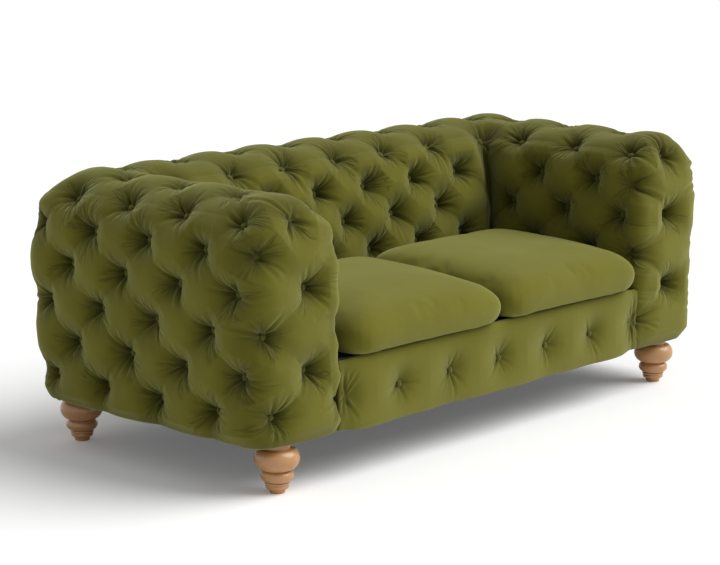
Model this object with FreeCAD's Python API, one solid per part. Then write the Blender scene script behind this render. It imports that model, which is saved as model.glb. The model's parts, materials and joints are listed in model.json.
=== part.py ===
import FreeCAD, Part
import math
import os
from FreeCAD import Vector

# A two-seat, deep-buttoned sofa. Millimetres, +Z up. The front faces -Y, and +X is to the right as seen
# from the front. The origin is on the floor under the middle of the sofa.

# Driving dimensions
BASE_Z = 132.0          # underside of the upholstery
PITCH = 200.0           # from one button to the next in a row
HALF = PITCH / 2
ARM_OUT = 893.0         # buttons on the outer side of an arm, from the centre plane
ARM_IN = 642.0          # buttons on the inner side of an arm
BACK_OUT = 411.0        # buttons on the outside of the back
BACK_IN = 143.0         # buttons on the inside of the back, behind the sitter
TOP_Z = 717.0           # buttons along the top of arms and back
DECK_Z = 305.0          # top of the deck that the loose cushions lie on
TUFT_RISE = 40.0        # crest of a pillow over its buttons
VALLEY_RISE = 18.0      # pleat over the buttons, half way between two of them
SAG_LIMIT = 0.32        # a pillow's arc rises at most this share of its width
BUTTON_FLAT = 14.0      # flat that a button sits on
BUTTON_R = 7.0
BUTTON_LIFT = 1.5       # a button stands this far off its flat, clear of the pleats beside it
END_RISE = 0.55         # the cut rows at a section's two ends rise by this share of a full pillow
WALL = 15.0             # cover with its quilted wadding, under a button
BOARD = 18.0            # plywood
TIMBER = 35.0           # beech rail
CLOTH = 1.5
WEBBING = 50.0          # width of a jute webbing strip
FACE_Y = -378.0         # plane between an arm's cover and its front facing
MITRE = 475.0           # an arm meets the back where |x| = y + MITRE
CORNER_R = 80.0         # rounding of the two rear corners
CORNER_AT = CORNER_R - 24.0
FOOT_X = 787.5
FOOT_FRONT_Y = -360.0
FOOT_REAR_Y = 370.0
CUSHION_FRONT_Y = -452.9
CUSHION_BACK_Y = 90.0
CUSHION_SIDE = 592.0
CUSHION_TOP_Z = 450.0
CLEAR = 0.3             # gap beside a piece that lifts off

# Rows of buttons round a section, from the outer bottom edge over the top to the inner side at the deck.
# Each is (distance outwards, height). Even rows and odd rows carry buttons at alternate half pitches.
ARM_ROWS = (
    (852.0, BASE_Z),
    (874.0, 200.0),
    (882.0, 301.0),
    (888.0, 403.0),
    (ARM_OUT, 506.0),
    (ARM_OUT - 2.0, 601.0),
    (868.0, 672.0),
    (785.0, TOP_Z),
    (676.0, 684.0),
    (648.0, 605.0),
    (ARM_IN, 510.0),
    (ARM_IN, 405.0),
    (ARM_IN, 310.0),
)
BACK_ROWS = (
    (410.0, BASE_Z),
    (403.0, 200.0),
    (406.0, 301.0),
    (409.0, 403.0),
    (BACK_OUT, 506.0),
    (BACK_OUT, 601.0),
    (388.0, 672.0),
    (290.0, TOP_Z),
    (190.0, 684.0),
    (168.0, 603.0),
    (150.0, 515.0),
    (BACK_IN, 425.0),
    (BACK_IN, 320.0),
)
OUTER_ROWS = 6          # rows up to this one are drawn in round a rear corner
FIRST_ROW_Y = -342.0    # even rows of an arm have their first button here
BACK_EVEN_X = 0.0       # even rows of the back have a button on the centre plane

# Inside of each cover, from the deck up and over to the outer bottom edge
ARM_INSIDE = (
    (ARM_IN, DECK_Z - 20.0),
    (ARM_IN + WALL, DECK_Z - 20.0),
    (ARM_IN + WALL, 596.0),
    (693.0, 664.0),
    (785.0, TOP_Z - WALL),
    (853.0, 660.0),
    (ARM_OUT - WALL - 2.0, 600.0),
    (858.0, 200.0),
    (838.0, BASE_Z),
)
BACK_INSIDE = (
    (BACK_IN, DECK_Z - 20.0),
    (BACK_IN + WALL, DECK_Z - 20.0),
    (BACK_IN + WALL, 430.0),
    (184.0, 600.0),
    (206.0, 666.0),
    (290.0, TOP_Z - WALL),
    (374.0, 660.0),
    (396.0, 600.0),
    (388.5, 200.0),
    (388.5, BASE_Z),
)
ARM_OUTER_INSIDE = 4    # from this point on the arm's inside follows a rear corner
BACK_OUTER_INSIDE = 5


def box(x0, x1, y0, y1, z0, z1):
    return Part.makeBox(x1 - x0, y1 - y0, z1 - z0, Vector(x0, y0, z0))


def cylinder(radius, height, x, y, z, axis=Vector(0, 0, 1)):
    return Part.makeCylinder(radius, height, Vector(x, y, z), axis)


def prism(points, direction):
    return Part.Face(Part.makePolygon(points + [points[0]])).extrude(direction)


def mirrored(shape):
    return shape.mirror(Vector(0, 0, 0), Vector(1, 0, 0))


# Buttoned upholstery

def along(rows, u):
    """Point and outward normal at u rows along a section, on a smooth curve through its buttons."""
    last = len(rows) - 1
    i = min(int(u), last - 1)
    f = u - i
    p1 = rows[i]
    p2 = rows[i + 1]
    p0 = rows[i - 1] if i > 0 else (2 * p1[0] - p2[0], 2 * p1[1] - p2[1])
    p3 = rows[i + 2] if i + 2 <= last else (2 * p2[0] - p1[0], 2 * p2[1] - p1[1])
    point = []
    slope = []
    for a, b, c, d in zip(p0, p1, p2, p3):
        k1 = (c - a) / 2
        k2 = a - 2.5 * b + 2 * c - d / 2
        k3 = (d - a) / 2 + 1.5 * (b - c)
        point.append(b + f * (k1 + f * (k2 + f * k3)))
        slope.append(k1 + f * (2 * k2 + 3 * f * k3))
    length = math.hypot(*slope)
    return point, (slope[1] / length, -slope[0] / length)


def raised(rows, u, rise):
    """A point on a section, lifted off the plane of the buttons."""
    point, normal = along(rows, u)
    return point[0] + rise * normal[0], point[1] + rise * normal[1]


def tufted_edges(last, turn, rise, valley, lifted):
    """Arcs of one section, from row 0 to the last row. turn 0 has buttons on the even rows, 1 on the odd
    rows, and between them the pleats run across. lifted gives a point at a row, raised off the buttons."""
    flat = BUTTON_FLAT / 2 / HALF
    swing = flat + (1 - 2 * flat) * turn
    joints = [0.0]
    for row in range(last):
        joints.append(row + (swing if row % 2 == 0 else 1 - swing))
    joints.append(float(last))
    lift = valley * math.sin(math.pi * turn)
    lifts = [0.0] + [lift] * last + [0.0]
    edges = []
    for row in range(last + 1):
        open_share = turn if row % 2 == 0 else 1 - turn
        crest = rise * math.sin(open_share * math.pi / 2)
        if row in (0, last):
            crest *= END_RISE
        start = lifted(joints[row], lifts[row])
        end = lifted(joints[row + 1], lifts[row + 1])
        level = (lifts[row] + lifts[row + 1]) / 2
        crest = min(crest, level + SAG_LIMIT * start.distanceToPoint(end))
        if crest < 1.0:
            edges.append(Part.LineSegment(start, end).toShape())
            continue
        middle_u = float(row)
        if row == 0:
            middle_u = joints[1] / 2
        if row == last:
            middle_u = (joints[last] + last) / 2
        middle = lifted(middle_u, crest)
        edges.append(Part.Arc(start, middle, end).toShape())
    return edges


def closed_section(edges, inside):
    """Closes a row of edges through the points of its inside."""
    points = [edges[-1].Vertexes[-1].Point] + inside + [edges[0].Vertexes[0].Point]
    lines = []
    for a, b in zip(points, points[1:]):
        if a.distanceToPoint(b) > 0.01:
            lines.append(Part.LineSegment(a, b).toShape())
    return Part.Wire(edges + lines)


def stops(first, last, even_at):
    """Places of the sections along a panel: two beside each row of buttons and one half way."""
    out = []
    k = math.floor((first - even_at) / HALF) - 1
    while even_at + k * HALF < last + HALF:
        centre = even_at + k * HALF
        turn = float(k % 2)
        out.append((centre - BUTTON_FLAT / 2, turn))
        out.append((centre + BUTTON_FLAT / 2, turn))
        out.append((centre + HALF / 2, 0.5))
        k += 1
    kept = [s for s in out if first < s[0] < last]
    before = [s for s in out if s[0] <= first][-1]
    after = [s for s in out if s[0] >= last][0]
    share = (first - before[0]) / (kept[0][0] - before[0])
    kept.insert(0, (first, before[1] + share * (kept[0][1] - before[1])))
    share = (last - kept[-1][0]) / (after[0] - kept[-1][0])
    kept.append((last, kept[-1][1] + share * (after[1] - kept[-1][1])))
    return kept


def drawn_in(points, amount, chosen):
    """Moves the chosen points of a section towards the middle of the sofa."""
    return [(p[0] - amount, p[1]) if chosen(i) else p for i, p in enumerate(points)]


def corner_draw(distance, corner_starts):
    """How far a rear corner's rounding draws a side in."""
    over = min(max(distance - corner_starts, 0.0), CORNER_AT * 1.25)
    return CORNER_R - math.sqrt(CORNER_R ** 2 - over ** 2)


def arm_cover():
    """The right arm's cover, open below and towards the facing, mitred against the back."""
    wires = []
    for y, turn in stops(FACE_Y, 462.0, FIRST_ROW_Y):
        amount = corner_draw(y, BACK_OUT + TUFT_RISE - CORNER_R)
        rows = drawn_in(ARM_ROWS, amount, lambda i: i <= OUTER_ROWS)
        inside = drawn_in(ARM_INSIDE, amount, lambda i: i > ARM_OUTER_INSIDE)

        def lifted(u, rise, y=y, rows=rows):
            a, b = raised(rows, u, rise)
            return Vector(a, y, b)

        edges = tufted_edges(len(rows) - 1, turn, TUFT_RISE, VALLEY_RISE, lifted)
        wires.append(closed_section(edges, [Vector(a, y, b) for a, b in inside]))
    cover = Part.makeLoft(wires, True, True)
    return cover.common(arm_side_of_mitre())


def back_cover():
    wires = []
    for x, turn in stops(-945.0, 945.0, BACK_EVEN_X):
        amount = corner_draw(abs(x), ARM_OUT + TUFT_RISE - CORNER_R)
        rows = drawn_in(BACK_ROWS, amount, lambda i: i <= OUTER_ROWS)
        inside = drawn_in(BACK_INSIDE, amount, lambda i: i > BACK_OUTER_INSIDE)

        def lifted(u, rise, x=x, rows=rows):
            a, b = raised(rows, u, rise)
            return Vector(x, a, b)

        edges = tufted_edges(len(rows) - 1, turn, TUFT_RISE, VALLEY_RISE, lifted)
        wires.append(closed_section(edges, [Vector(x, a, b) for a, b in inside]))
    cover = Part.makeLoft(wires, True, True)
    return cover.common(back_side_of_mitre())


def arm_side_of_mitre():
    """The space of the right arm in front of its mitre."""
    corners = ((500, 500 - MITRE), (1000, 1000 - MITRE), (1000, -500), (500, -500))
    return prism([Vector(x, y, 0) for x, y in corners], Vector(0, 0, 900))


def back_side_of_mitre():
    low = -60.0
    side = low + MITRE
    corners = ((-side, low), (side, low), (1000, 1000 - MITRE), (-1000, 1000 - MITRE))
    return prism([Vector(x, y, 0) for x, y in corners], Vector(0, 0, 900))


# Heights of a facing's sections: (height, turn, outer side, inner side, how far the front comes forward)
FACING_LEVELS = (
    (BASE_Z, 0.0, 884.0, 612.0, 0.45),
    (193.0, 1.0, 900.0, 606.0, 1.0),
    (207.0, 1.0, 901.0, 606.0, 1.0),
    (250.0, 0.5, 904.0, 606.0, 1.0),
    (294.0, 0.0, 907.0, 606.0, 1.0),
    (308.0, 0.0, 908.0, 606.0, 1.0),
    (352.0, 0.5, 910.0, 606.0, 1.0),
    (396.0, 1.0, 913.0, 606.0, 1.0),
    (410.0, 1.0, 914.0, 606.0, 1.0),
    (455.0, 0.5, 916.0, 606.0, 1.0),
    (499.0, 0.0, 918.0, 606.0, 1.0),
    (513.0, 0.0, 919.0, 606.0, 1.0),
    (553.0, 0.5, 920.0, 609.0, 1.0),
    (594.0, 1.0, 918.0, 615.0, 1.0),
    (608.0, 1.0, 916.0, 618.0, 1.0),
    (637.0, 0.5, 908.0, 627.0, 1.0),
    (665.0, 0.0, 896.0, 642.0, 0.85),
    (679.0, 0.0, 888.0, 650.0, 0.8),
    (712.0, 0.3, 864.0, 682.0, 0.7),
    (738.0, 0.3, 828.0, 726.0, 0.5),
    (750.0, 0.3, 804.0, 758.0, 0.35),
)
FACING_FRONT = 14.0     # the facing's buttons stand this far before its back plane
FACING_LEAN = 0.5       # how far the pillows at a facing's sides lean outwards
# Columns of buttons between a facing's two sides, as their distance from the centre plane. The first has
# its buttons on the even rows, the next on the odd rows. The sides themselves start with odd rows.
FACING_LEFT = (707.0, 848.0)
FACING_RIGHT = (769.0,)
FACING_WIDEST = (919.0, 606.0)  # its two sides where those columns are measured


def facing_rows(columns, outer, inner, forward):
    """Plan of a facing at one height: inner side, columns of buttons, outer side."""
    share = (outer - inner) / (FACING_WIDEST[0] - FACING_WIDEST[1])
    middle = (outer + inner) / 2
    centre = (FACING_WIDEST[0] + FACING_WIDEST[1]) / 2
    front = FACE_Y - FACING_FRONT * forward
    rows = [(middle + (x - centre) * share, front) for x in columns]
    return [(inner, FACE_Y)] + rows + [(outer, FACE_Y)]


def facing_lift(rows, u, rise):
    """Plan point of a facing, raised forwards and near its sides also outwards."""
    point, _ = along(rows, u)
    last = len(rows) - 1
    lean = FACING_LEAN * (2 * u / last - 1)
    reach = rise / math.hypot(1.0, lean)
    return point[0] + lean * reach, point[1] - reach


def facing(columns):
    """An arm's front facing as a right arm has it: a pad with its own pillows and a flat back."""
    wires = []
    for z, turn, outer, inner, forward in FACING_LEVELS:
        rows = facing_rows(columns, outer, inner, forward)

        def lifted(u, rise, z=z, rows=rows):
            a, b = facing_lift(rows, u, rise)
            return Vector(a, b, z)

        edges = tufted_edges(len(rows) - 1, 1 - turn, TUFT_RISE * forward, VALLEY_RISE * forward, lifted)
        wires.append(closed_section(edges, []))
    return Part.makeLoft(wires, True, True)


RAIL_HALF = 604.0
RAIL_BUTTON_Z = 213.0
RAIL_RISE = 17.0
RAIL_ROWS = ((-398.0, DECK_Z - 1.0), (-408.0, RAIL_BUTTON_Z), (-396.0, BASE_Z))


def front_rail_cover():
    """The padded cover of the front rail, with one row of shallow buttons."""
    wires = []
    for x, turn in stops(-RAIL_HALF, RAIL_HALF, HALF):

        def lifted(u, rise, x=x):
            a, b = raised(RAIL_ROWS, u, rise)
            return Vector(x, a, b)

        edges = tufted_edges(len(RAIL_ROWS) - 1, turn, RAIL_RISE, RAIL_RISE / 2, lifted)
        inside = [Vector(x, FACE_Y, BASE_Z), Vector(x, FACE_Y, DECK_Z - 1.0)]
        wires.append(closed_section(edges, inside))
    return Part.makeLoft(wires, True, True)


# Buttons

def button(centre, normal):
    """A cloth-covered button: a low disc with a domed top."""
    rim = 3.0
    dome = 3.0
    disc = Part.makeCylinder(BUTTON_R - 0.3, rim, Vector(0, 0, 0))
    ball_r = ((BUTTON_R - 0.3) ** 2 + dome ** 2) / (2 * dome)
    ball = Part.makeSphere(ball_r, Vector(0, 0, rim + dome - ball_r))
    cap = ball.common(Part.makeCylinder(BUTTON_R, dome + 1.0, Vector(0, 0, rim)))
    shape = disc.fuse(cap).removeSplitter()
    shape.Placement = FreeCAD.Placement(centre, FreeCAD.Rotation(Vector(0, 0, 1), normal))
    return shape


def arm_buttons():
    """Every button on the right arm's cover: (place, outward direction)."""
    found = []
    for k in range(8):
        y = FIRST_ROW_Y + k * HALF
        for row in range(1, len(ARM_ROWS) - 1):
            if row % 2 != k % 2:
                continue
            point, normal = along(ARM_ROWS, float(row))
            if point[0] - 12.0 < y + MITRE:
                continue
            found.append((Vector(point[0], y, point[1]), Vector(normal[0], 0, normal[1])))
    return found


def back_buttons():
    found = []
    for k in range(-9, 10):
        x = BACK_EVEN_X + k * HALF
        for row in range(1, len(BACK_ROWS) - 1):
            if row % 2 != abs(k) % 2:
                continue
            point, normal = along(BACK_ROWS, float(row))
            if abs(x) > ARM_OUT + TUFT_RISE - CORNER_R or abs(x) > point[0] + MITRE - 12.0:
                continue
            found.append((Vector(x, point[0], point[1]), Vector(0, normal[0], normal[1])))
    return found


def facing_buttons(columns):
    found = []
    for below, above in zip(FACING_LEVELS, FACING_LEVELS[1:]):
        if above[0] - below[0] > BUTTON_FLAT + 1.0 or above[0] > 700.0:
            continue
        level = [(a + b) / 2 for a, b in zip(below, above)]
        rows = facing_rows(columns, level[2], level[3], level[4])
        column = 2 if level[1] > 0.5 else 1
        if column <= len(columns):
            point, _ = along(rows, float(column))
            found.append((Vector(point[0], point[1], level[0]), Vector(0, -1, 0)))
    return found


def rail_buttons():
    y = RAIL_ROWS[1][0]
    return [(Vector(k * PITCH, y, RAIL_BUTTON_Z), Vector(0, -1, 0)) for k in range(-2, 3)]


def buttons(places):
    return Part.makeCompound([button(place + normal * BUTTON_LIFT, normal) for place, normal in places])


# Cushions

# Sections of a cushion across its width: (share of the half width, side drop, end inset)
CUSHION_STATIONS = (
    (-1.0, 40.0, 26.0),
    (-0.985, 24.0, 12.0),
    (-0.93, 12.0, 4.0),
    (-0.75, 5.0, 1.0),
    (-0.4, 1.0, 0.0),
    (0.0, 0.0, 0.0),
    (0.4, 1.0, 0.0),
    (0.75, 5.0, 1.0),
    (0.93, 12.0, 4.0),
    (0.985, 24.0, 12.0),
    (1.0, 40.0, 26.0),
)


def cushion_form(inset):
    """One crowned cushion, drawn in at its sides, with a rounded nose that stands over the front rail."""
    x0 = CLEAR + 0.7 + inset
    x1 = CUSHION_SIDE - inset
    front = CUSHION_FRONT_Y + inset
    back = CUSHION_BACK_Y - inset
    bottom = DECK_Z + CLEAR + inset
    crown = CUSHION_TOP_Z - inset
    wires = []
    for share, drop, draw in CUSHION_STATIONS:
        x = (x0 + x1) / 2 + share * (x1 - x0) / 2
        low = bottom + max(drop - 12.0, 0.0) * 0.9
        high = crown - drop
        nose = front + draw
        rear = back - draw
        shoulder = high - 16.0
        heel = low + 22.0
        front_edge = Vector(x, nose + 14.0, shoulder - 12.0)
        crown_front = Vector(x, nose + 130.0, high)
        crown_rear = Vector(x, rear - 40.0, high - 16.0)
        rear_edge = Vector(x, rear, shoulder - 30.0)
        points = [
            (Vector(x, nose + 16.0, low), Vector(x, nose, (low + shoulder) / 2 - 6.0), front_edge),
            (front_edge, Vector(x, nose + 52.0, high - 7.0), crown_front),
            (crown_front, Vector(x, rear - 170.0, high - 3.0), crown_rear),
            (crown_rear, Vector(x, rear - 10.0, high - 28.0), rear_edge),
        ]
        edges = [Part.Arc(*three).toShape() for three in points]
        edges.append(Part.LineSegment(rear_edge, Vector(x, rear, heel)).toShape())
        edges.append(Part.LineSegment(Vector(x, rear, heel), Vector(x, rear - 18.0, low)).toShape())
        edges.append(Part.LineSegment(Vector(x, rear - 18.0, low), Vector(x, nose + 16.0, low)).toShape())
        wires.append(Part.Wire(edges))
    return Part.makeLoft(wires, True, True)


def zip_fastener():
    return box(96.0, 496.0, CUSHION_BACK_Y, CUSHION_BACK_Y + 2.0, 350.0, 362.0)


# Foam

def ring_prism(outer, inner, place, direction):
    points = [place(*p) for p in outer] + [place(*p) for p in reversed(inner)]
    return prism(points, direction)


ARM_FOAM_INSIDE = (
    (676.0, DECK_Z - 20.0),
    (676.0, 590.0),
    (706.0, 644.0),
    (785.0, 672.0),
    (836.0, 641.0),
    (855.0, 590.0),
    (842.0, DECK_Z - 20.0),
)
ARM_FOAM_OUTSIDE = (
    (ARM_IN + WALL, DECK_Z - 20.0),
    (ARM_IN + WALL, 596.0),
    (693.0, 664.0),
    (785.0, TOP_Z - WALL),
    (853.0, 660.0),
    (ARM_OUT - WALL - 2.0, 600.0),
    (860.0, DECK_Z - 20.0),
)
BACK_FOAM_OUTSIDE = (
    (BACK_IN + WALL, DECK_Z - 20.0),
    (BACK_IN + WALL, 430.0),
    (184.0, 600.0),
    (206.0, 666.0),
    (290.0, TOP_Z - WALL),
    (374.0, 660.0),
)
BACK_FOAM_INSIDE = (
    (218.0, DECK_Z - 20.0),
    (218.0, 430.0),
    (236.0, 600.0),
    (250.0, 640.0),
    (290.0, 664.0),
    (362.0, 645.0),
)


def arm_foam():
    ring = ring_prism(ARM_FOAM_OUTSIDE, ARM_FOAM_INSIDE, lambda a, b: Vector(a, FACE_Y + TIMBER + BOARD, b),
                      Vector(0, 360.0 - FACE_Y - TIMBER - BOARD, 0))
    return ring.common(arm_side_of_mitre())


def back_foam():
    reach = 800.0
    length = Vector(2 * reach, 0, 0)
    ring = ring_prism(BACK_FOAM_OUTSIDE, BACK_FOAM_INSIDE, lambda a, b: Vector(-reach, a, b), length)
    frame_pieces = both_sides([arm_tack_rail(), arm_top_rail(), arm_rear_cross_piece()])
    return ring.common(back_side_of_mitre()).cut(frame_pieces)


# Wooden frame

RAIL_X = 836.0          # ends of the front and back rails
RAIL_LOW = BASE_Z + 26.0
RAIL_HIGH = 262.0
BACK_RAIL_Y = 388.0
POST_X = 600.0
SIDE_IN = RAIL_X - 25.0
SIDE_FRONT = FACE_Y + TIMBER
SIDE_REAR = BACK_RAIL_Y - TIMBER
PLATE = 110.0
ARM_POST_IN = 680.0
ARM_TOP = 636.0
SCREW_R = 2.5
INSERT_R = 6.0          # threaded insert in a foot block
INSERT_LENGTH = 26.0
BOLT_TIP = 16.0         # clearance in the rails for a hanger bolt's end
BOLT_TIP_R = 4.5


def front_seat_rail():
    rail = box(-RAIL_X, RAIL_X, FACE_Y, SIDE_FRONT, RAIL_LOW, RAIL_HIGH)
    for side in (-1, 1):
        rail = rail.cut(cylinder(BOLT_TIP_R, BOLT_TIP, side * FOOT_X, FOOT_FRONT_Y, RAIL_LOW))
    return rail.cut(frame_screw_holes())


def back_seat_rail():
    rail = box(-RAIL_X, RAIL_X, SIDE_REAR, BACK_RAIL_Y, RAIL_LOW, RAIL_HIGH)
    for side in (-1, 1):
        rail = rail.cut(cylinder(BOLT_TIP_R, BOLT_TIP, side * FOOT_X, FOOT_REAR_Y, RAIL_LOW))
    return rail.cut(frame_screw_holes())


def side_seat_rail():
    return box(SIDE_IN, RAIL_X, SIDE_FRONT, SIDE_REAR, RAIL_LOW, RAIL_HIGH).cut(frame_screw_holes())


def centre_cross_rail():
    return box(-TIMBER / 2, TIMBER / 2, SIDE_FRONT, SIDE_REAR, RAIL_LOW, RAIL_LOW + 60.0)


def screw_places():
    """Two screws through each end of the front and back rails into the side rails."""
    x = (SIDE_IN + RAIL_X) / 2
    for side in (-1, 1):
        for z in (RAIL_LOW + 40.0, RAIL_HIGH - 24.0):
            yield Vector(side * x, FACE_Y, z), Vector(0, 1, 0)
            yield Vector(side * x, BACK_RAIL_Y, z), Vector(0, -1, 0)


def frame_screw(place, direction, grow=0.0):
    """A countersunk wood screw, its head flush with the rail."""
    head = Part.makeCone(5.0 + grow, SCREW_R + grow, 3.0, place, direction)
    shank = Part.makeCylinder(SCREW_R + grow, 70.0 + grow, place, direction)
    return head.fuse(shank).removeSplitter()


def frame_screws():
    return Part.makeCompound([frame_screw(*p) for p in screw_places()])


def frame_screw_holes():
    return Part.makeCompound([frame_screw(place, way, 0.05) for place, way in screw_places()])


def mounting_plate(y0, foot_y):
    """Plywood block that takes a foot's threaded insert."""
    block = box(RAIL_X - PLATE, RAIL_X, y0, y0 + PLATE, BASE_Z, RAIL_LOW)
    return block.cut(cylinder(INSERT_R, INSERT_LENGTH, FOOT_X, foot_y, BASE_Z))


def arm_front_board():
    """Plywood board behind a facing; its top follows the arm."""
    y = SIDE_FRONT
    outline = [(ARM_POST_IN, RAIL_HIGH), (ARM_POST_IN, 590.0), (708.0, 640.0), (785.0, 668.0), (834.0, 637.0),
               (850.0, 590.0), (840.0, RAIL_HIGH), (SIDE_IN, RAIL_HIGH), (SIDE_IN, RAIL_LOW),
               (ARM_POST_IN, RAIL_LOW)]
    return prism([Vector(a, y, b) for a, b in outline], Vector(0, BOARD, 0))


def arm_top_rail():
    return box(720.0, 820.0, SIDE_FRONT + BOARD, 300.0, ARM_TOP - 25.0, ARM_TOP)


def arm_rear_post():
    return box(785.0, 820.0, 265.0, 300.0, RAIL_HIGH, ARM_TOP - 25.0)


def arm_tack_rail():
    """Rail at deck height that the arm's inner cover is fastened to."""
    return box(ARM_POST_IN, 705.0, SIDE_FRONT + BOARD, 230.0, RAIL_HIGH, DECK_Z + 5.0)


def arm_rear_cross_piece():
    """Joins the tack rail to the side rail and the rear post."""
    return box(ARM_POST_IN, 820.0, 230.0, 265.0, RAIL_HIGH, RAIL_HIGH + 60.0)


def back_post(x):
    half = TIMBER / 2
    return box(x - half, x + half, SIDE_REAR - 10.0, SIDE_REAR + 25.0, RAIL_HIGH, 620.0)


def back_top_rail():
    return box(-POST_X - 60.0, POST_X + 60.0, 262.0, SIDE_REAR + 25.0, 620.0, 645.0)


def back_tack_rail():
    return box(-POST_X - 18.0, POST_X + 18.0, 222.0, 247.0, RAIL_HIGH + 20.0, DECK_Z + 20.0)


def back_tack_bracket(x):
    """Short block between the tack rail and its post."""
    half = TIMBER / 2
    return box(x - half, x + half, 247.0, SIDE_REAR - 10.0, RAIL_HIGH + 20.0, DECK_Z + 20.0)


def back_webbing():
    """Jute webbing up the front of the back's tack rail."""
    half = WEBBING / 2
    strips = []
    for k in range(6):
        x = (k - 2.5) * PITCH
        strips.append(box(x - half, x + half, 222.0 - CLOTH, 222.0, 290.0, 410.0))
    return Part.makeCompound(strips)


def arm_webbing():
    """Jute webbing up the inner side of an arm's frame."""
    half = WEBBING / 2
    strips = []
    for y in (-270.0, -130.0, 10.0, 150.0):
        strips.append(box(ARM_POST_IN - CLOTH, ARM_POST_IN, y - half, y + half, RAIL_HIGH + 4.0, 585.0))
    return Part.makeCompound(strips)


# Springs and deck

SPRING_X = [-525.0 + 150.0 * k for k in range(8)]
WIRE_R = 1.8
SPRING_Z = RAIL_HIGH + 4.0
SPRING_FRONT = FACE_Y + 20.0
LEG = 26.0              # straight run across a zigzag spring
BEND_R = 12.0
BENDS = 29


def zigzag_spring(x):
    """Zigzag wire spring from the front rail to the back rail, flat, its end runs held in clips."""
    edges = []
    y = SPRING_FRONT
    side = -1
    for k in range(BENDS + 1):
        a = Vector(x + side * LEG / 2, y, SPRING_Z)
        b = Vector(x - side * LEG / 2, y, SPRING_Z)
        edges.append(Part.LineSegment(a, b).toShape())
        if k < BENDS:
            middle = Vector(b.x - side * BEND_R, y + BEND_R, SPRING_Z)
            end = Vector(b.x, y + 2 * BEND_R, SPRING_Z)
            edges.append(Part.Arc(b, middle, end).toShape())
        side = -side
        y += 2 * BEND_R
    path = Part.Wire(edges)
    start = edges[0].Vertexes[0].Point
    ring = Part.Wire([Part.Circle(start, Vector(1, 0, 0), WIRE_R).toShape()])
    return path.makePipeShell([ring], True, False)


def zigzag_springs():
    return Part.makeCompound([zigzag_spring(x) for x in SPRING_X])


def spring_clips():
    """Steel clips on the rails, each holding the end run of one spring."""
    clips = []
    rear = SPRING_FRONT + 2 * BEND_R * BENDS
    for x in SPRING_X:
        for y in (SPRING_FRONT, rear):
            clip = box(x - 7.0, x + 7.0, y - 6.0, y + 6.0, RAIL_HIGH, RAIL_HIGH + 8.0)
            clips.append(clip.cut(cylinder(WIRE_R + 0.05, 14.0, x - 7.0, y, SPRING_Z, Vector(1, 0, 0))))
    return Part.makeCompound(clips)


def spring_tie_wires():
    """Wires across all springs, which share the load between them."""
    wires = []
    for k in (6, 12, 18):
        y = SPRING_FRONT + 2 * BEND_R * k
        z = SPRING_Z + WIRE_R + 1.3
        wires.append(cylinder(1.25, 2 * 580.0, -580.0, y, z, Vector(1, 0, 0)))
    return Part.makeCompound(wires)


DECK_LOW = RAIL_HIGH + 10.0
DECK_SIDE = 598.0


def deck_pad():
    """Felt pad over the springs."""
    return box(-DECK_SIDE, DECK_SIDE, FACE_Y, 130.0, DECK_LOW, DECK_Z - CLOTH)


def deck_cloth():
    return box(-DECK_SIDE, DECK_SIDE, FACE_Y, 130.0, DECK_Z - CLOTH, DECK_Z)


def dust_cover():
    """Thin black cloth stapled under the frame, cut round the feet."""
    sheet = box(-RAIL_X, RAIL_X, FACE_Y, BACK_RAIL_Y, BASE_Z - CLOTH, BASE_Z)
    for side in (-1, 1):
        for y in (FOOT_FRONT_Y, FOOT_REAR_Y):
            sheet = sheet.cut(cylinder(FOOT_NECK_R + 3.0, 10.0, side * FOOT_X, y, BASE_Z - 5.0))
    return sheet


# Feet

FOOT_NECK_R = 34.0
TOE_R = 18.7
BOLT_R = 3.9
BOLT_DEPTH = 40.0       # how deep a hanger bolt stands in its foot
BOLT_LENGTH = 78.0


def foot(y):
    """A turned foot: toe, two fine beads, a middle bead, the large bulb and a neck."""
    points = (
        ("line", (0.0, 0.0), (TOE_R, 0.0)),
        ("line", (TOE_R, 0.0), (21.5, 11.0)),
        ("arc", (21.5, 11.0), (29.5, 16.5), (28.0, 21.0)),
        ("arc", (28.0, 21.0), (31.2, 25.0), (28.2, 29.0)),
        ("arc", (28.2, 29.0), (41.6, 44.5), (33.0, 58.0)),
        ("arc", (33.0, 58.0), (56.5, 85.0), (45.0, 111.0)),
        ("line", (45.0, 111.0), (FOOT_NECK_R, 114.0)),
        ("line", (FOOT_NECK_R, 114.0), (FOOT_NECK_R, BASE_Z)),
        ("line", (FOOT_NECK_R, BASE_Z), (0.0, BASE_Z)),
        ("line", (0.0, BASE_Z), (0.0, 0.0)),
    )
    edges = []
    for kind, *ends in points:
        spots = [Vector(r, 0, z) for r, z in ends]
        maker = Part.Arc if kind == "arc" else Part.LineSegment
        edges.append(maker(*spots).toShape())
    body = Part.Face(Part.Wire(edges)).revolve(Vector(0, 0, 0), Vector(0, 0, 1), 360)
    body.translate(Vector(FOOT_X, y, 0))
    return body.cut(cylinder(BOLT_R, BOLT_DEPTH + 2.0, FOOT_X, y, BASE_Z - BOLT_DEPTH))


def hanger_bolt(y):
    return cylinder(BOLT_R, BOLT_LENGTH, FOOT_X, y, BASE_Z - BOLT_DEPTH)


def threaded_insert(y):
    bore = cylinder(BOLT_R + 0.05, INSERT_LENGTH, FOOT_X, y, BASE_Z)
    return cylinder(INSERT_R, INSERT_LENGTH, FOOT_X, y, BASE_Z).cut(bore)


def both_sides(shapes):
    return Part.makeCompound(shapes + [mirrored(s) for s in shapes])


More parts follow.
